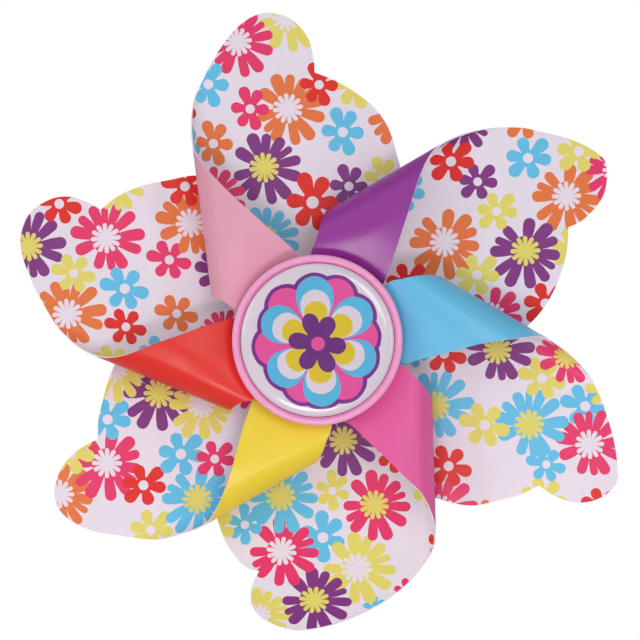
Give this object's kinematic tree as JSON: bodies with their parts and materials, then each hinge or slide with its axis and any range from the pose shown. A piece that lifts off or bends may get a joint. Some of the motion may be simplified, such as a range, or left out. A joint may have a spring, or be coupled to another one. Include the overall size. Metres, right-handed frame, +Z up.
{
  "type": "pinwheel",
  "caption": "Pinwheel with curled flower-print sails round a domed flower hub, on a spring clip for a handlebar.",
  "frame": {"origin": "centre of the handlebar clip's bore, where the handlebar's axis crosses the spin axis", "axes": "+X along the handlebar, -Y along the spin axis toward the front of the wheel, +Z up"},
  "size_m": [0.1838, 0.0649, 0.1914],
  "materials": {
    "sheet_light_pink": "semi-gloss printed plastic sheet",
    "sheet_purple": "semi-gloss printed plastic sheet",
    "sheet_blue": "semi-gloss printed plastic sheet",
    "sheet_magenta": "semi-gloss printed plastic sheet",
    "sheet_yellow": "semi-gloss printed plastic sheet",
    "sheet_red": "semi-gloss printed plastic sheet",
    "pink_plastic": "glossy moulded",
    "badge_print": "glossy printed dome",
    "white_plastic": "satin moulded",
    "clip_plastic": "fine moulded grain",
    "nylon": "satin",
    "pad_rubber": "matte",
    "steel": "bright drawn",
    "zinc_steel": "zinc plated",
    "spring_steel": "bright"
  },
  "bodies": {
    "bracket": {"bracket": "clip_plastic", "axle": "steel", "rear_washer": "nylon", "front_washer": "nylon", "e_clip": "spring_steel", "fixed_pad": "pad_rubber", "pivot_pin": "steel", "jaw_spring": "spring_steel"},
    "rotor": {"sail_light_pink": "sheet_light_pink", "sail_purple": "sheet_purple", "sail_blue": "sheet_blue", "sail_magenta": "sheet_magenta", "sail_yellow": "sheet_yellow", "sail_red": "sheet_red", "hub_cap": "pink_plastic", "badge": "badge_print", "hub_drum": "white_plastic", "hub_face_plate": "white_plastic", "rear_cover": "white_plastic", "bush_front": "nylon", "bush_rear": "nylon", "hub_screws": "zinc_steel"},
    "jaw": {"moving_jaw": "clip_plastic", "moving_pad": "pad_rubber"}
  },
  "joints": [
    {"name": "rotor_spin", "type": "hinge", "parent": "bracket", "child": "rotor", "pos_m": [0, 0, 0], "axis": [0, -1, 0], "continuous": true},
    {"name": "jaw_swing", "type": "hinge", "parent": "bracket", "child": "jaw", "pos_m": [0, 0, 0.0195], "axis": [1, 0, 0], "range_deg": [0, 35], "stiffness_Nm_per_rad": 0.36, "springref_deg": -44.69, "deforming": ["jaw_spring"]}
  ]
}
